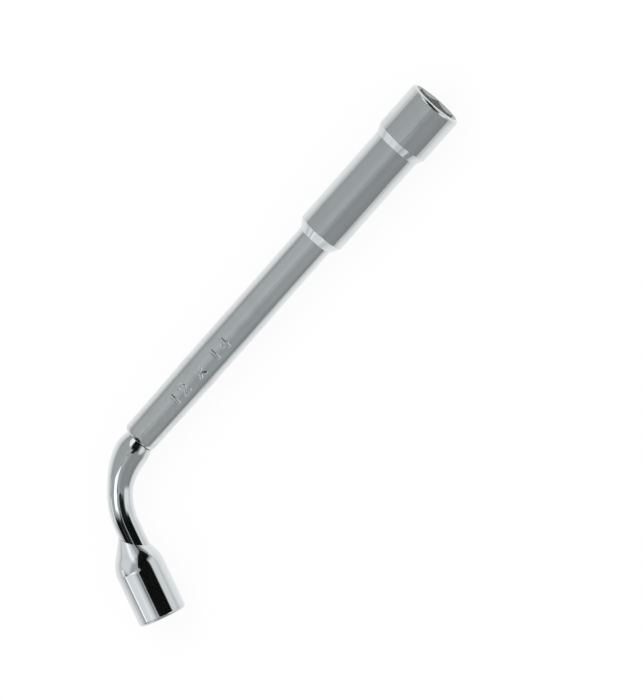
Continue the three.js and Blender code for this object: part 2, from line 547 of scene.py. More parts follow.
def haze_group() -> bpy.types.NodeTree:
    """Cloudy patches from handling.

    Returns:
        The effect, whose mask goes from 0 to 1.
    """
    graph = new_group("handling haze", TreeKind.EFFECT, {"Position": Vector(), "Patch Scale": 0.0, "Cover": 0.0})
    given = graph.given
    noise = graph.term("ShaderNodeTexNoise", "Fac", {
        "Vector": given["Position"], "Scale": given["Patch Scale"], "Detail": 5.0, "Roughness": 0.6, "Distortion": 0.8,
    })
    return graph.result(graph.ramp(noise - (1.0 - given["Cover"]), *HAZE_STEP))


def wear_group() -> bpy.types.NodeTree:
    """Broken wear along rounded edges.

    Returns:
        The effect, whose mask goes from 0 to 1.
    """
    graph = new_group("edge wear", TreeKind.EFFECT, {"Edge": 0.0, "Position": Vector(), "Grain": 0.0})
    given = graph.given
    values = {"Vector": given["Position"], "Scale": given["Grain"], "Detail": 4.0, "Roughness": 0.7}
    return graph.result(given["Edge"] * graph.ramp(graph.term("ShaderNodeTexNoise", "Fac", values), *WEAR_STEP))


@dataclass(frozen=True)
class ChromeFinish:
    """One state of the chrome plate: its colours, its gloss and the marks on it."""

    name: str
    colour: tuple[float, float, float]
    worn_colour: tuple[float, float, float]
    roughness: float
    line_roughness: float
    haze_roughness: float
    haze_cover: float
    line_depth: float
    lines_round: float
    lines_along: float
    wave_depth: float
    metallic: float = 1.0
    wave_scale: float = 160.0
    haze_scale: float = 70.0
    haze_shade: float = 0.93  # what haze leaves of the colour
    wear_grain: float = 900.0
    wear_roughness: float = 0.12

    def material(self, groups: dict[str, bpy.types.NodeTree]) -> bpy.types.Material:
        """Builds the finish as a material.

        Args:
            groups: The shared effects by name.

        Returns:
            The material.
        """
        made = bpy.data.materials.new(self.name)
        made.use_nodes = True
        graph = Graph(made.node_tree)
        position = graph.term("ShaderNodeTexCoord", "Object")
        along, edge = (graph.term("ShaderNodeAttribute", "Fac", attribute_name=name) for name in ("along", "edge"))
        ring = graph.term("ShaderNodeAttribute", "Vector", attribute_name="ring")
        lines = graph.effect(groups["polish"], {
            "Along": along, "Ring": ring, "Lines Round": self.lines_round, "Lines Along": self.lines_along,
        })
        haze = graph.effect(groups["haze"], {
            "Position": position, "Patch Scale": self.haze_scale, "Cover": self.haze_cover,
        })
        wear = graph.effect(groups["wear"], {"Edge": edge, "Position": position, "Grain": self.wear_grain})
        hazy = tuple(self.haze_shade * part for part in self.colour)
        plate = graph.blend(haze, (*self.colour, 1), (*hazy, 1))
        gloss = lines * self.line_roughness + self.roughness + haze * self.haze_roughness
        waves = graph.term("ShaderNodeTexNoise", "Fac", {"Vector": position, "Scale": self.wave_scale, "Detail": 1.0})
        height = lines * self.line_depth + waves * self.wave_depth
        looks = {
            "Metallic": self.metallic,
            "Base Color": graph.blend(wear, plate, (*self.worn_colour, 1)),
            "Roughness": gloss + wear * self.wear_roughness,
            "Normal": graph.term("ShaderNodeBump", "Normal", {"Height": height, "Strength": 1.0, "Distance": 1.0}),
        }
        for name, value in looks.items():
            graph.feed(made.node_tree.nodes["Principled BSDF"].inputs[name], value)
        return made


BRIGHT_CHROME = ChromeFinish(
    name="bright_chrome", colour=(0.735, 0.765, 0.775), worn_colour=(0.66, 0.67, 0.67),
    roughness=0.035, line_roughness=0.03, haze_roughness=0.05, haze_cover=0.45,
    line_depth=1e-6, lines_round=16.0, lines_along=60.0, wave_depth=4e-6,
)
LINED_CHROME = replace(
    BRIGHT_CHROME, name="lined_chrome",
    roughness=0.07, line_roughness=0.09, line_depth=5e-6, lines_round=13.0, lines_along=45.0,
)
RIM_STEEL = ChromeFinish(
    name="rim_steel", colour=(0.44, 0.45, 0.45), worn_colour=(0.37, 0.37, 0.36),
    roughness=0.24, line_roughness=0.1, haze_roughness=0.12, haze_cover=0.6,
    line_depth=4e-6, lines_round=40.0, lines_along=200.0, wave_depth=6e-6,
)
BROACHED_STEEL = replace(
    RIM_STEEL, name="broached_steel", colour=(0.46, 0.465, 0.46), worn_colour=(0.38, 0.375, 0.37), metallic=0.7,
    roughness=0.3, line_roughness=0.18, haze_roughness=0.2, line_depth=1.2e-5, lines_round=60.0, lines_along=60.0,
)


@dataclass
class Finishes:
    """The materials of the wrench."""

    bright: bpy.types.Material
    lined: bpy.types.Material
    bore: bpy.types.Material
    rim: bpy.types.Material

    @classmethod
    def build(cls) -> "Finishes":
        """Builds the shared effects once and every material from them.

        Returns:
            The materials.
        """
        groups = {"polish": polish_group(), "haze": haze_group(), "wear": wear_group()}
        made = (BRIGHT_CHROME, LINED_CHROME, BROACHED_STEEL, RIM_STEEL)
        return cls(*(finish.material(groups) for finish in made))

    def dress(self, mesh: bpy.types.Mesh, outside: bpy.types.Material) -> None:
        """Gives a turned mesh its materials, in the order of Skin."""
        for material in (outside, self.bore, self.rim):
            mesh.materials.append(material)


@dataclass
class Arm:
    """What both arms of the wrench share: how they are joined, and the mouths of their sockets."""

    nut_hexagon: float = 14.2 * MM
    nut_depth: float = 12 * MM
    neck_key: float = 7 * MM
    neck_key_length: float = 12 * MM
    neck_side_step: float = 0.7 * MM  # of the neck's axis beside the shank's
    braze_gap: float = 0.1 * MM
    seam_length: float = 1.7 * MM
    seam_depth: float = 0.9 * MM
    rim_edge: float = 1.1 * MM
    mouth_lead: float = 0.9 * MM
    mouth_margin: float = 0.15 * MM

    def __post_init__(self) -> None:
        """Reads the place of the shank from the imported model."""
        low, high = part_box("straight_socket")
        self.axis = Vector((0, (low.y + high.y) / 2, (low.z + high.z) / 2))
        self.shank_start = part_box("shank_bar")[0].x

    def mouth(self) -> float:
        """Radius of the lead-in cone at the rim."""
        return self.nut_hexagon / math.sqrt(3) + self.mouth_margin


@dataclass
class LongArm(Arm):
    """The straight socket, its sleeve and the shank, all turned about one axis along X."""

    socket_radius: float = 10 * MM
    socket_shoulder: float = 3 * MM
    sleeve_radius: float = 8.7 * MM
    sleeve_shoulder: float = 3.4 * MM
    stud_bore_radius: float = 5.4 * MM
    shank_radius: float = 6.6 * MM
    shank_end_radius: float = 6.2 * MM
    shank_taper: float = 31 * MM
    taper_rounding: float = 396 * MM  # where the taper runs into the parallel length
    shank_key: float = 10 * MM
    shank_key_length: float = 14 * MM
    shoulder_edge: float = 0.5 * MM
    hairline: float = 0.04 * MM

    def __post_init__(self) -> None:
        """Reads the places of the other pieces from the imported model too."""
        super().__post_init__()
        self.socket_start, self.rim = (corner.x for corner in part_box("straight_socket"))
        self.sleeve_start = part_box("socket_sleeve")[0].x

    def at(self, start: float) -> Matrix:
        """Places a piece that starts at this distance along X."""
        return Matrix.Translation(self.axis + Vector((start, 0, 0)))

    def straight_socket(self) -> bpy.types.Mesh:
        """The wide socket, with its hexagon broached right through.

        Returns:
            The mesh, in the wrench's frame.
        """
        length = self.rim - self.socket_start
        outside = turned_rings(
            [
                (0, self.nut_hexagon / 2 + self.rim_edge),
                (0, self.sleeve_radius),
                (self.socket_shoulder, self.socket_radius),
                (length, self.socket_radius),
                (length, self.mouth()),
            ],
            [self.hairline, self.shoulder_edge, self.rim_edge],
        )
        bore = bore_rings(length, self.nut_hexagon, self.mouth(), self.mouth_lead, 0.0)
        return skin_mesh("straight_socket_mesh", outside[1:-1] + bore, Closing.LOOP, self.at(self.socket_start))

    def socket_sleeve(self) -> bpy.types.Mesh:
        """The tube behind the socket, with the hexagon spigot that stops the nut.

        Returns:
            The mesh, in the wrench's frame.
        """
        length = self.socket_start - self.sleeve_start
        spigot = self.nut_hexagon - 2 * self.braze_gap
        front = self.rim - self.nut_depth - self.sleeve_start
        keyhole = self.shank_key + 2 * self.braze_gap
        key_depth = self.shank_key_length + self.braze_gap
        outside = turned_rings(
            [
                (0, keyhole / math.sqrt(3)),
                (0, self.shank_radius),
                (self.sleeve_shoulder, self.sleeve_radius),
                (length, self.sleeve_radius),
                (length, spigot / math.sqrt(3)),
            ],
            [self.hairline, self.shoulder_edge, self.hairline],
        )
        inside = [
            hexagon_ring(spigot, length),
            hexagon_ring(spigot, front, Skin.BORE),
            round_ring(front, self.stud_bore_radius, Skin.BORE),
            round_ring(key_depth, self.stud_bore_radius, Skin.BORE),
            hexagon_ring(keyhole, key_depth, Skin.BORE),
            hexagon_ring(keyhole, 0.0, Skin.BORE),
        ]
        return skin_mesh("socket_sleeve_mesh", outside[1:-1] + inside, Closing.LOOP, self.at(self.sleeve_start))

    def shank_bar(self) -> bpy.types.Mesh:
        """The round bar, a little slimmer towards the bend, with a key on one end and a keyhole in the other.

        Returns:
            The mesh, in the wrench's frame.
        """
        length = self.sleeve_start - self.shank_start
        keyhole = self.neck_key + 2 * self.braze_gap
        face = (0, self.shank_end_radius - self.seam_depth)
        seam_top = (self.seam_length, self.shank_end_radius)
        seam = [round_ring(u, radius, edge=1.0) for u, radius in quarter_round(face, seam_top, 2 * EDGE_STEPS)]
        outside = turned_rings(
            [
                seam_top,
                (self.shank_taper, self.shank_radius),
                (length, self.shank_radius),
                (length, self.shank_key / math.sqrt(3)),
            ],
            [self.taper_rounding, self.hairline],
        )
        hole_ends = (self.neck_key_length + self.braze_gap, 0.0)
        hole = [hexagon_ring(keyhole, end, Skin.BORE, -self.neck_side_step) for end in hole_ends]
        key = [hexagon_ring(self.shank_key, end) for end in (length, length + self.shank_key_length)]
        return skin_mesh("shank_bar_mesh", hole + seam + outside[1:-1] + key, Closing.ENDS, self.at(self.shank_start))


def named_inputs(source: Any, *fields: str) -> dict[str, Any]:
    """Fields of an object as inputs of its node tree, such as bend_radius as Bend Radius."""
    return {field.replace("_", " ").title(): getattr(source, field) for field in fields}


def grown_mesh(name: str, values: dict[str, Any], shape: Callable[[Graph], Term]) -> bpy.types.Mesh:
    """Builds a geometry node tree, runs it once and keeps its result as a plain mesh.

    Args:
        name: Name of the mesh.
        values: Values of the tree's inputs by name, with the material as Finish.
        shape: Builds the tree up to the finished geometry.

    Returns:
        The mesh.
    """
    graph = new_group(name, TreeKind.SHAPE, values)
    real = graph.term("GeometryNodeRealizeInstances", "Geometry", {"Geometry": shape(graph)})
    dress = {"Geometry": real, "Material": graph.given["Finish"]}
    tree = graph.result(graph.term("GeometryNodeSetMaterial", "Geometry", dress))
    seed = link_piece(name + "_seed", bpy.data.meshes.new(name + "_seed"))
    modifier = seed.modifiers.new("grow", "NODES")
    modifier.node_group = tree
    for item in tree.interface.items_tree:
        if item.in_out == "INPUT":
            modifier[item.identifier] = values[item.name]
    depsgraph = bpy.context.evaluated_depsgraph_get()
    mesh = bpy.data.meshes.new_from_object(seed.evaluated_get(depsgraph))
    mesh.name = name
    seed.modifiers.remove(modifier)
    bpy.data.objects.remove(seed)
    return mesh


@dataclass
class ShortArm(Arm):
    """The neck round the bend and the socket on it."""

    nut_hexagon: float = 12.2 * MM
    nut_depth: float = 12.5 * MM
    bend_radius: float = 27 * MM
    bend_angle: float = math.radians(113.5)
    start_radius: float = 6.1 * MM
    end_radius: float = 4.45 * MM
    collar: float = 0.4 * MM
    taper: float = 18 * MM
    straight: float = 17 * MM
    stations: int = 150  # along the neck
    edge_share: float = 0.1  # of the stations, on the rounded edge at the neck's start
    socket_radius: float = 8.7 * MM
    socket_length: float = 21.6 * MM
    back_length: float = 9.6 * MM
    shoulder_radius: float = 12 * MM
    floor_cone: float = 2 * MM
    neck_offset: float = 2.2 * MM
    seat_depth: float = 5.2 * MM

    def __post_init__(self) -> None:
        """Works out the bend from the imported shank, whose axis the neck's lies beside."""
        super().__post_init__()
        self.deflection = math.pi - self.bend_angle
        self.tangent = self.bend_radius * math.tan(self.deflection / 2)
        crossing = self.shank_start - self.braze_gap - self.collar - self.tangent
        self.crossing = self.axis + Vector((crossing, -self.neck_side_step, 0))

    def socket_place(self) -> Matrix:
        """Places the bent socket.

        Returns:
            From the socket's own frame, X along its axis from the end of its cone, to the wrench's.
        """
        start = self.tangent + self.straight + self.braze_gap - self.seat_depth
        turn = Matrix.Rotation(-self.bend_angle, 4, "Z")
        return Matrix.Translation(self.crossing) @ turn @ Matrix.Translation((start, -self.neck_offset, 0))

    def back_depth(self, radius: float) -> float:
        """Where the bent socket's conical back or its rounded shoulder has a radius.

        Args:
            radius: The radius.

        Returns:
            The distance along the socket's axis.
        """
        height = self.socket_radius - self.end_radius + self.neck_offset
        slope = math.atan2(height, self.back_length)
        below = self.socket_radius - radius
        if below > self.shoulder_radius * (1 - math.cos(slope)):
            return -self.back_length * below / height
        turn = math.acos(1 - below / self.shoulder_radius)
        return self.shoulder_radius * (math.tan(slope / 2) - math.sin(turn))

    def back_ring(self, share: float) -> Ring:
        """A ring on the bent socket's back.

        Args:
            share: How far it is from the edge of the neck's seat to the parallel length, from 0 to 1.

        Returns:
            The ring.
        """
        seat = self.end_radius + self.braze_gap / 2
        points = []
        for column in range(COLUMNS):
            angle = turn_angle(column)
            half_chord = math.sqrt(seat**2 - (self.neck_offset * math.cos(angle)) ** 2)
            reach = self.neck_offset * math.sin(angle) + half_chord
            radius = reach + (self.socket_radius - reach) * math.sin(QUARTER * share)
            points.append(ring_point(self.back_depth(radius), radius, angle))
        return Ring(tuple(points))

    def bent_socket(self) -> bpy.types.Mesh:
        """The socket on the short arm: a conical back, bored off centre for the neck.

        Returns:
            The mesh, in the wrench's frame.
        """
        steps = 4 * EDGE_STEPS
        back = [self.back_ring(step / steps) for step in range(steps + 1)]
        bottom = tuple(Vector((self.seat_depth, point.y, point.z)) for point in back[0].points)
        seat = [Ring(bottom, Skin.BORE), replace(back[0], skin=Skin.BORE)]
        mouth, floor = self.mouth(), self.socket_length - self.nut_depth
        outside = turned_rings(
            [(0, self.socket_radius), (self.socket_length, self.socket_radius), (self.socket_length, mouth)],
            [self.rim_edge],
        )
        bore = bore_rings(self.socket_length, self.nut_hexagon, mouth, self.mouth_lead, floor)
        cone = [
            round_ring(floor, self.nut_hexagon / 2 - self.braze_gap, Skin.BORE),
            round_ring(floor - self.floor_cone, self.braze_gap, Skin.BORE),
        ]
        rings = seat + back[1:] + outside[1:-1] + bore + cone
        return skin_mesh("bent_socket_mesh", rings, Closing.ENDS, self.socket_place())

    def sweep(self, graph: Graph) -> Term:
        """Sweeps a circle along the bend, with a rounded edge at its start and a smooth taper, and adds the key.

        Args:
            graph: The neck's tree.

        Returns:
            The geometry.
        """
        given = graph.given
        bend, deflection, collar = given["Bend Radius"], given["Deflection"], given["Collar"]
        factor = graph.term("GeometryNodeSplineParameter", "Factor")
        quarter = graph.math("MINIMUM", factor / self.edge_share, 1.0) * QUARTER
        bend_length = bend * deflection
        rest = collar + bend_length + given["Straight"] - given["Seam Length"]
        past_edge = graph.math("MAXIMUM", factor - self.edge_share, 0.0) / (1 - self.edge_share)
        station = past_edge * rest + given["Seam Length"] * (1.0 - graph.math("COSINE", quarter))
        before = graph.math("MAXIMUM", collar - station, 0.0)
        into_bend = graph.math("MAXIMUM", station - collar, 0.0)
        beyond = graph.math("MAXIMUM", into_bend - bend_length, 0.0)
        turn = graph.math("MINIMUM", into_bend / bend, deflection)
        sine, cosine = graph.math("SINE", turn), graph.math("COSINE", turn)
        place = graph.term("ShaderNodeCombineXYZ", "Vector", {
            "X": before - (sine * bend + beyond * cosine),
            "Y": (beyond * sine + (1.0 - cosine) * bend) * -1.0,
        })
        tapered = graph.ramp(station, 0.0, given["Taper"], given["Start Radius"], given["End Radius"])
        radius = tapered - given["Seam Depth"] * (1.0 - graph.math("SINE", quarter))
        line = graph.term("GeometryNodeCurvePrimitiveLine", "Curve", {"End": (1, 0, 0)})
        steps = graph.term("GeometryNodeResampleCurve", "Curve", {"Curve": line, "Count": given["Stations"]})
        path = graph.term("GeometryNodeSetPosition", "Geometry", {"Geometry": steps, "Position": place})
        for name, value in (("along", station), ("edge", 1.0 - quarter / QUARTER), ("radius_here", radius)):
            path = graph.store(path, name, value)
        size = {"Resolution": given["Columns"], "Radius": 1.0}
        circle = graph.term("GeometryNodeCurvePrimitiveCircle", "Curve", size)
        circle = graph.store(circle, "ring", graph.term("GeometryNodeInputPosition", "Position"), "FLOAT_VECTOR")
        key_end = graph.term("ShaderNodeCombineXYZ", "Vector", {"X": collar + given["Key Length"]})
        key_path = graph.term("GeometryNodeCurvePrimitiveLine", "Curve", {"End": key_end})
        key_size = {"Resolution": 6, "Radius": given["Key Radius"]}
        hexagon = graph.term("GeometryNodeCurvePrimitiveCircle", "Curve", key_size)
        whole = graph.node("GeometryNodeMeshBoolean", operation="UNION", solver="EXACT")
        for curve, profile, scale in ((path, circle, graph.stored("radius_here")), (key_path, hexagon, 1.0)):
            bar = {"Curve": curve, "Profile Curve": profile, "Scale": scale, "Fill Caps": True}
            graph.feed(whole.inputs["Mesh 2"], graph.term("GeometryNodeCurveToMesh", "Mesh", bar))
        return Term(graph, whole.outputs["Mesh"])

    def bent_neck(self, finish: bpy.types.Material) -> bpy.types.Mesh:
        """The tapering bar round the bend, swept by its node tree.

        Args:
            finish: Material of the whole neck.

        Returns:
            The mesh, in the wrench's frame.
        """
        sizes = named_inputs(
            self, "bend_radius", "deflection", "collar", "straight", "start_radius", "end_radius", "taper",
            "seam_length", "seam_depth", "stations",
        )
        sizes |= {
            "Key Radius": self.neck_key / math.sqrt(3),
            "Key Length": self.braze_gap + self.neck_key_length,
            "Columns": COLUMNS,
            "Finish": finish,
        }
        mesh = grown_mesh("bent_neck_mesh", sizes, self.sweep)
        mesh.transform(Matrix.Translation(self.crossing + Vector((self.tangent, 0, 0))))
        smooth(mesh)
        return mesh


TWO_SIDED = 1.5  # an edge with fewer faces than this is open
RIM_SHARE = 0.01  # a point with a larger share of open edges than this is on the rim


@dataclass
class SizeMark:
    """Plain raised numbers on the shank: the two nut sizes."""

    text: str = "12 x 14"
    height: float = 6.3 * MM
    spacing: float = 1.5
    relief: float = 0.34 * MM
    sunk: float = 0.05 * MM  # the foot of the flanks below the bar's surface
    flank: float = 0.5 * MM
    length: float = 38 * MM
    width: float = 6.8 * MM
    grain: float = 0.08 * MM
    weld: float = 0.001 * MM
    middle: float = -21 * MM
    lean: float = math.radians(4)  # round the bar, from straight up towards the short arm

    def raised(self, graph: Graph) -> Term:
        """Wraps a fine grid on the bar, raised where the numbers are, cut away elsewhere and closed below.

        Args:
            graph: The mark's tree.

        Returns:
            The geometry.
        """
        given = graph.given
        letters = graph.term(
            "GeometryNodeStringToCurves",
            "Curve Instances",
            {"String": given["Text"], "Size": given["Height"], "Character Spacing": given["Spacing"]},
            align_x="CENTER",
            align_y="MIDDLE",
        )
        outlines = graph.term("GeometryNodeRealizeInstances", "Geometry", {"Geometry": letters})
        faces = graph.term("GeometryNodeFillCurve", "Mesh", {"Curve": outlines})
        grid = graph.term("GeometryNodeMeshGrid", "Mesh", {
            "Size X": given["Length"],
            "Size Y": given["Width"],
            "Vertices X": given["Points Along"],
            "Vertices Y": given["Points Across"],
        })
        near = graph.term("GeometryNodeProximity", "Distance", {"Geometry": faces}, target_element="FACES")
        marked = graph.store(grid, "off_number", near)
        off = graph.stored("off_number")
        beyond = {"Geometry": marked, "Selection": off > given["Flank"]}
        kept = graph.term("GeometryNodeDeleteGeometry", "Geometry", beyond, domain="POINT")
        one_sided = graph.term("GeometryNodeInputMeshEdgeNeighbors", "Face Count") < TWO_SIDED
        open_edge = graph.term(
            "GeometryNodeFieldOnDomain", "Value", {"Value": one_sided}, data_type="FLOAT", domain="EDGE"
        )
        sheet = graph.store(kept, "rim", open_edge)
        on_rim = graph.stored("rim") > RIM_SHARE
        top = graph.ramp(off, 0.0, given["Flank"], given["Relief"], given["Sunk"] * -1.0)
        below = given["Sunk"] * -2.0
        bottom = on_rim * (top - below) + below
        upper, lower = (
            graph.term("GeometryNodeSetPosition", "Geometry", {"Geometry": sheet, "Position": self.on_bar(graph, at)})
            for at in (top, bottom)
        )
        both = graph.node("GeometryNodeJoinGeometry", {"Geometry": upper})
        graph.feed(both.inputs["Geometry"], graph.term("GeometryNodeFlipFaces", "Mesh", {"Mesh": lower}))
        seam = {"Geometry": Term(graph, both.outputs["Geometry"]), "Distance": given["Weld"]}
        welded = graph.term("GeometryNodeMergeByDistance", "Geometry", seam)
        return graph.term("GeometryNodeSetShadeSmooth", "Geometry", {"Geometry": welded})

    @staticmethod
    def on_bar(graph: Graph, height: Term) -> Term:
        """Where the flat grid's points lie when it is wrapped on the bar.

        Args:
            graph: The mark's tree.
            height: How far a point is above the bar.

        Returns:
            The position.
        """
        given = graph.given
        here = graph.node("ShaderNodeSeparateXYZ", {"Vector": graph.term("GeometryNodeInputPosition", "Position")})
        x, y = (Term(graph, here.outputs[name]) for name in "XY")
        past = graph.math("MAXIMUM", given["Taper Start"] - x, 0.0)
        out = height + (given["Bar Radius"] - past * given["Taper Slope"])
        angle = y / given["Bar Radius"] - given["Lean"]
        sides = {"X": x, "Y": out * graph.math("SINE", angle), "Z": out * graph.math("COSINE", angle)}
        return graph.vector("ADD", graph.term("ShaderNodeCombineXYZ", "Vector", sides), given["Middle"])

    def mesh(self, arm: LongArm, finish: bpy.types.Material) -> bpy.types.Mesh:
        """The numbers on the upper side of the shank.

        Args:
            arm: The arm that has the shank.
            finish: Material of the numbers.

        Returns:
            The mesh.
        """
        values = named_inputs(
            self, "text", "height", "spacing", "relief", "sunk", "flank", "length", "width", "weld", "lean"
        )
        values |= {
            "Points Along": round(self.length / self.grain),
            "Points Across": round(self.width / self.grain),
            "Bar Radius": arm.shank_radius,
            "Taper Start": arm.shank_start + arm.shank_taper - self.middle,
            "Taper Slope": (arm.shank_radius - arm.shank_end_radius) / (arm.shank_taper - arm.seam_length),
            "Middle": arm.axis + Vector((self.middle, 0, 0)),
            "Finish": finish,
        }
        return grown_mesh("size_mark_mesh", values, self.raised)


@dataclass(frozen=True)
class StudioPatch:
    """A soft-edged patch of the room, in degrees about the crown, which the top of every bar mirrors."""

    bearing: float  # from the photo's right towards its top
    half_width: float
    near: float  # how far off the crown it starts
    far: float
    softness: float
    level: float  # brightness, where 1 is white


@dataclass(frozen=True)
class SoftBox:
    """A soft light for the pieces that face it, by its direction in the photo and its size, in degrees."""

    name: str
    azimuth: float
    elevation: float
    width: float
    height: float
    side_fade: float  # share of the width over which each side fades
    top_fade: float  # share of the height over which the top fades
    level: float  # brightness of its face, where 1 is white
    lights: tuple[str, ...]  # the pieces that it is set up for
    distance: float = 1.0
    aim: tuple[float, float, float] = (0, 0, 0)  # in mm


ROOM_TINT = (0.975, 1.0, 1.01)
ROOM_FALL = (-42.0, 0.0)  # azimuth and elevation towards which the room gets darker
ROOM_LEVELS = (
    (-1.0, 0.40), (-0.85, 0.43), (-0.53, 0.43), (-0.2, 0.475), (0.05, 0.455), (0.36, 0.315), (0.8, 0.33), (1.0, 0.29),
)
ROOM_PATCHES = (
    StudioPatch(-4, 17, 52, 100, 6, 0.9),
    StudioPatch(22, 20, 70, 100, 3, 0.8),
    StudioPatch(62, 26, 17, 68, 4, 0.005),
    StudioPatch(67, 18, 60, 92, 4, 0.005),
    StudioPatch(26.5, 14.5, 4, 68, 4, 0.005),
    StudioPatch(-5, 10, 4, 24, 6, 0.03),
    StudioPatch(7, 10, 4, 44, 6, 0.01),
    StudioPatch(232, 19, 21, 84, 4, 0.005),
    StudioPatch(25, 13, 2, 12, 1.5, 0.005),
    StudioPatch(206, 7, 2, 12, 1.5, 0.005),
    StudioPatch(206, 6, 12, 30, 1.5, 0.005),
    StudioPatch(206, 7, 30, 64, 3, 0.005),
    StudioPatch(196, 8, 68, 100, 3, 0.9),
    StudioPatch(258, 10, 62, 100, 4, 0.7),
)
# painted pool of light: to the chrome the floor glows brighter near the arms than far off, with no lamp that lights it
# so
FLOOR_BARS = (((-72, 19.9, 0), (102, 19.9, 0)), ((-72, 19.2, 0), (-94.3, -26.8, 0)))  # below the arms, in mm
PAINTED_POOL_FADE = (12 * MM, 90 * MM)  # from the arms, over which the painted pool of light on the mirrored floor fades darker
PAINTED_POOL_FAR_LEVEL = 0.62
STRAIGHT = ("chrome_straight_socket",)
SLEEVE = ("chrome_socket_sleeve", "raised_size_mark")
SHANK = ("chrome_shank_bar", "raised_size_mark")
BENT = ("chrome_bent_socket",)
NECK = ("chrome_bent_neck",)
EDGES = ("chrome_straight_socket", "chrome_shank_bar", "chrome_bent_neck")
LONG = ("chrome_straight_socket", "chrome_socket_sleeve", "chrome_shank_bar")
SOFT_BOXES = (
    SoftBox("straight_side_box", 216, 20, 100, 50, 0.12, 0.2, 0.42, STRAIGHT),
    SoftBox("sleeve_shoulder_box", 228, 22, 46, 60, 0.15, 0.2, 0.84, SLEEVE),
    SoftBox("straight_shoulder_box", 222.5, 22, 45, 60, 0.1, 0.2, 0.45, STRAIGHT),
    SoftBox("bent_socket_box", 213, 45.5, 14, 68, 0.2, 0.4, 0.85, BENT),
    SoftBox("bent_cone_box", 152, 32, 98, 60, 0.25, 0.3, 0.38, BENT),
    SoftBox("bent_glint_box", 130, 44, 24, 50, 0.4, 0.4, 0.4, BENT),
    SoftBox("ring_box", 117, 49, 20, 34, 0.2, 0.2, 0.7, EDGES),
    SoftBox("ring_side_box", 88, 18, 20, 36, 0.2, 0.2, 0.6, EDGES),
    SoftBox("bend_strip", 184, 54, 18, 28, 0.2, 0.2, 0.9, NECK, distance=0.05, aim=(-78.0, 5.7, 14.5)),
    SoftBox("neck_fill", 212, 61, 12, 34, 0.2, 0.2, 0.27, NECK, distance=0.05, aim=(-64, 17.5, 14.5)),
    SoftBox("bent_rim_box", 242, 27, 46, 56, 0.2, 0.2, 0.5, BENT),
    SoftBox("rim_box", 340, 40, 24, 34, 0.2, 0.2, 0.6, STRAIGHT),
    SoftBox("crown_box", 228.4, 81, 6, 34, 0.5, 0.2, 0.09, LONG, aim=(0, 19.9, 16)),
    SoftBox("shank_box", 228.4, 81, 150, 60, 0.3, 0.3, 0.055, SHANK, aim=(0, 19.9, 16)),
)


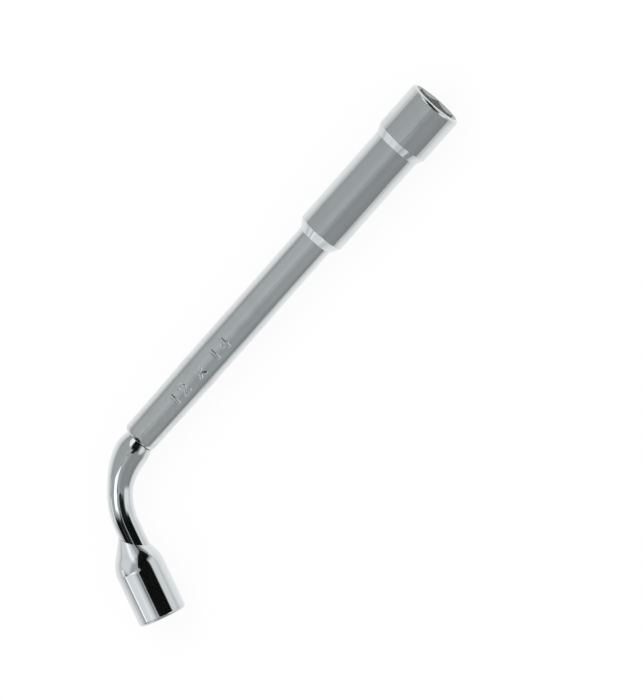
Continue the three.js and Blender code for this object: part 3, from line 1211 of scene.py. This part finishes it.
@dataclass
class Studio:
    """Floor, surroundings, lights and camera."""

    tilt: float = math.radians(9)  # of the view off straight down, towards +X
    roll: float = math.radians(48.42)  # of the long arm above the photo's horizontal
    photo_width: int = 643
    photo_height: int = 700
    scale: float = 2.912 / MM  # photo pixels to a metre
    origin_pixel: tuple[float, float] = (287.61, 358.93)
    lens: float = 600.0
    sensor: float = 36.0
    clip: float = 100.0  # how many times nearer and farther than the wrench the camera sees
    floor_size: float = 12.0
    floor_grey: float = 0.9
    floor_glow_share: float = 0.9  # the rest of what is seen is lit and shows the shadow
    lamp_size: float = 0.5
    lamp_power: float = 1.5
    lamp_toward: tuple[float, float] = (140, 60)  # azimuth and elevation
    lamp_distance: float = 0.9

    def __post_init__(self) -> None:
        """Works out the photo's axes in the wrench's frame."""
        self.view = Vector((math.sin(self.tilt), 0, math.cos(self.tilt)))
        ahead = Vector((0, 1, 0))
        side = ahead.cross(self.view)
        self.right = math.cos(self.roll) * side - math.sin(self.roll) * ahead
        self.up = math.sin(self.roll) * side + math.cos(self.roll) * ahead

    def direction(self, azimuth: float, elevation: float) -> Vector:
        """Turns a direction by the photo's sides into one in the wrench's frame.

        Args:
            azimuth: From the photo's right towards its top, in degrees.
            elevation: From the floor upwards, in degrees.

        Returns:
            The direction.
        """
        turn = math.radians(azimuth) - self.roll
        rise = math.radians(elevation)
        return Vector((math.cos(rise) * math.cos(turn), math.cos(rise) * math.sin(turn), math.sin(rise)))

    def camera(self) -> None:
        """Looks at the wrench as the photo does."""
        data = bpy.data.cameras.new("camera")
        data.sensor_width = self.sensor
        data.lens = self.lens
        distance = self.photo_height / self.scale * self.lens / self.sensor
        data.clip_start, data.clip_end = distance / self.clip, distance * self.clip
        across = (self.photo_width / 2 - self.origin_pixel[0]) / self.scale
        above = (self.origin_pixel[1] - self.photo_height / 2) / self.scale
        target = self.right * across + self.up * above
        camera = bpy.data.objects.new("camera", data)
        turn = Matrix((self.right, self.up, self.view)).transposed()
        camera.matrix_world = Matrix.Translation(target + self.view * distance) @ turn.to_4x4()
        bpy.context.scene.collection.objects.link(camera)
        bpy.context.scene.camera = camera

    def floor(self) -> None:
        """A white floor that shows the wrench's soft shadow."""
        half = self.floor_size / 2
        mesh = bpy.data.meshes.new("floor")
        mesh.from_pydata([(-half, -half, 0), (half, -half, 0), (half, half, 0), (-half, half, 0)], [], [(0, 1, 2, 3)])
        material = bpy.data.materials.new("white_floor")
        material.use_nodes = True
        nodes = material.node_tree.nodes
        nodes.remove(nodes["Principled BSDF"])
        graph = Graph(material.node_tree)
        seen = graph.rays("Camera", "Glossy", "Transmission") * self.floor_glow_share
        mix = graph.node("ShaderNodeMixShader", {"Fac": seen})
        lit = graph.term("ShaderNodeBsdfDiffuse", "BSDF", {"Color": (*3 * (self.floor_grey,), 1)})
        glow = {"Color": WHITE, "Strength": self.glow_with_painted_pool(graph)}
        graph.feed(mix.inputs[1], lit)
        graph.feed(mix.inputs[2], graph.term("ShaderNodeEmission", "Emission", glow))
        graph.feed(nodes["Material Output"].inputs["Surface"], Term(graph, mix.outputs["Shader"]))
        mesh.materials.append(material)
        floor = link_piece("floor", mesh)

    def glow_with_painted_pool(self, graph: Graph) -> Term:
        """White to the camera, and to the chrome a floor with a painted pool of light that gets darker away from the
        wrench.

        Args:
            graph: The floor's tree.

        Returns:
            The brightness.
        """
        here = graph.term("ShaderNodeTexCoord", "Object")
        bars = [self.off_bar(graph, here, Vector(start) * MM, Vector(end) * MM) for start, end in FLOOR_BARS]
        far = graph.term("ShaderNodeMapRange", "Result", {
            "Value": graph.math("MINIMUM", *bars),
            "From Min": PAINTED_POOL_FADE[0],
            "From Max": PAINTED_POOL_FADE[1],
            "To Min": 1.0,
            "To Max": PAINTED_POOL_FAR_LEVEL,
        })
        # painted pool of light round the arms, which only glossy rays see
        return graph.rays("Glossy") * (far - 1.0) + 1.0

    @staticmethod
    def off_bar(graph: Graph, here: Term, start: Vector, end: Vector) -> Term:
        """Distance of a point on the floor from the line below one arm of the wrench.

        Args:
            graph: The floor's tree.
            here: The point.
            start: One end of the line.
            end: Its other end.

        Returns:
            The distance.
        """
        run = end - start
        offset = graph.vector("SUBTRACT", here, start)
        share = graph.vector("DOT_PRODUCT", offset, run) / run.length_squared
        held = graph.math("MINIMUM", graph.math("MAXIMUM", share, 0.0), 1.0)
        return graph.vector("LENGTH", graph.vector("SUBTRACT", offset, graph.scaled(run, held)))

    def surroundings(self) -> None:
        """White to the camera, plain light on the floor, and to the chrome a grey room with soft patches."""
        world = bpy.data.worlds.new("studio")
        bpy.context.scene.world = world
        world.use_nodes = True
        graph = Graph(world.node_tree)
        colour = graph.blend(graph.rays("Glossy", "Transmission"), WHITE, self.room(graph))
        graph.feed(world.node_tree.nodes["Background"].inputs["Color"], colour)

    def room(self, graph: Graph) -> Term:
        """The grey room that the chrome mirrors.

        Args:
            graph: The world's tree.

        Returns:
            The room's colour.
        """
        heading = graph.term("ShaderNodeTexCoord", "Generated")
        fall = graph.vector("DOT_PRODUCT", heading, self.direction(*ROOM_FALL))
        shades = graph.node("ShaderNodeValToRGB", {"Fac": fall * 0.5 + 0.5})  # -1 to 1 becomes 0 to 1
        stops = shades.color_ramp.elements
        for step, (place, level) in enumerate(ROOM_LEVELS):
            stop = stops[step] if step < len(stops) else stops.new(1.0)
            stop.position = (place + 1) / 2
            stop.color = self.grey(level)
        sine, cosine = math.sin(self.tilt), math.cos(self.tilt)
        axes = (Vector((cosine, 0, sine)), Vector((0, 1, 0)), Vector((-sine, 0, cosine)))
        ahead, aside, up = (graph.vector("DOT_PRODUCT", heading, axis) for axis in axes)
        bearing, spread = graph.math("ARCTAN2", aside, ahead), graph.math("ARCCOSINE", up)
        colour = Term(graph, shades.outputs["Color"])
        for patch in ROOM_PATCHES:
            angles = (patch.bearing, patch.half_width, patch.near, patch.far, patch.softness)
            middle, half, near, far, soft = (math.radians(angle) for angle in angles)
            turned = graph.math("WRAP", bearing - (middle - self.roll), math.pi, -math.pi)
            beside = graph.ramp(graph.math("ABSOLUTE", turned), half - soft, half + soft, 1.0, 0.0)
            beyond = graph.ramp(spread, near - soft, near + soft)
            within = graph.ramp(spread, far - soft, far + soft, 1.0, 0.0)
            colour = graph.blend(beside * (beyond * within), colour, self.grey(patch.level))
        return colour

    @staticmethod
    def grey(level: float) -> tuple[float, ...]:
        """The room's grey at a brightness, as a colour."""
        return (*(level * tint for tint in ROOM_TINT), 1)

    @staticmethod
    def hang(data: bpy.types.Light, toward: Vector, distance: float, aim: Vector) -> bpy.types.Object:
        """Hangs a light so that it faces a point.

        Args:
            data: The light.
            toward: Direction of the light from the point.
            distance: How far off the point it is.
            aim: The point.

        Returns:
            The light's object.
        """
        light = bpy.data.objects.new(data.name, data)
        light.location = aim + toward * distance
        light.rotation_mode = "QUATERNION"
        light.rotation_quaternion = toward.to_track_quat("Z", "Y")
        bpy.context.scene.collection.objects.link(light)
        return light

    def soft_box(self, box: SoftBox) -> None:
        """Sets up a soft light for some of the pieces, which only their chrome sees.

        Args:
            box: What the light is like.
        """
        data = bpy.data.lights.new(box.name, "AREA")
        data.shape = "RECTANGLE"
        data.size, data.size_y = (
            2 * box.distance * math.tan(math.radians(angle) / 2) for angle in (box.width, box.height)
        )
        data.energy = box.level * math.pi * data.size * data.size_y
        data.color = ROOM_TINT
        data.use_nodes = True
        graph = Graph(data.node_tree)
        face = graph.term("ShaderNodeNewGeometry", "Parametric")
        place = graph.node("ShaderNodeSeparateXYZ", {"Vector": face}).outputs
        to_side = 0.5 - graph.math("ABSOLUTE", Term(graph, place["X"]) - 0.5)
        sides = graph.ramp(to_side, 0.0, box.side_fade)
        top = graph.ramp(Term(graph, place["Y"]), 1 - box.top_fade, 1.0, 1.0, 0.0)
        graph.feed(data.node_tree.nodes["Emission"].inputs["Strength"], sides * top)
        light = self.hang(data, self.direction(box.azimuth, box.elevation), box.distance, Vector(box.aim) * MM)
        light.visible_camera = False
        light.visible_diffuse = False
        lit = bpy.data.collections.new(box.name + "_pieces")
        for name in box.lights:
            lit.objects.link(bpy.data.objects[name])
        light.light_linking.receiver_collection = lit

    def lamp(self) -> None:
        """A large soft lamp that gives the floor shadow a side."""
        data = bpy.data.lights.new("soft_lamp", "AREA")
        data.size = self.lamp_size
        data.energy = self.lamp_power
        lamp = self.hang(data, self.direction(*self.lamp_toward), self.lamp_distance, Vector())
        lamp.visible_glossy = False

    def build(self) -> None:
        """Builds the whole studio."""
        bpy.context.scene.view_settings.view_transform = "Standard"
        self.camera()
        self.floor()
        self.surroundings()
        for box in SOFT_BOXES:
            self.soft_box(box)
        self.lamp()


def add_piece(name: str, mesh: bpy.types.Mesh, node: str | None) -> None:
    """Puts a mesh on the wrench and reports it.

    Args:
        name: Name of the piece.
        mesh: Its mesh, in the wrench's frame.
        node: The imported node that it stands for, if any.
    """
    piece = link_piece(name, mesh)
    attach(piece, BODY)
    if node:
        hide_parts(node)
    LOG.info("%s: %d faces", name, len(mesh.polygons))


def main() -> None:
    """Builds the wrench piece by piece, then the studio."""
    logging.basicConfig(level=logging.INFO, format="%(name)s: %(message)s")
    finishes = Finishes.build()
    long_arm = LongArm()
    short_arm = ShortArm()
    turned = {
        "straight_socket": (long_arm.straight_socket(), finishes.lined),
        "socket_sleeve": (long_arm.socket_sleeve(), finishes.lined),
        "shank_bar": (long_arm.shank_bar(), finishes.lined),
        "bent_socket": (short_arm.bent_socket(), finishes.bright),
    }
    for node, (mesh, outside) in turned.items():
        finishes.dress(mesh, outside)
        add_piece("chrome_" + node, mesh, node)
    add_piece("chrome_bent_neck", short_arm.bent_neck(finishes.bright), "bent_neck")
    add_piece("raised_size_mark", SizeMark().mesh(long_arm, finishes.bright), None)
    Studio().build()


if __name__ == "__main__":
    main()
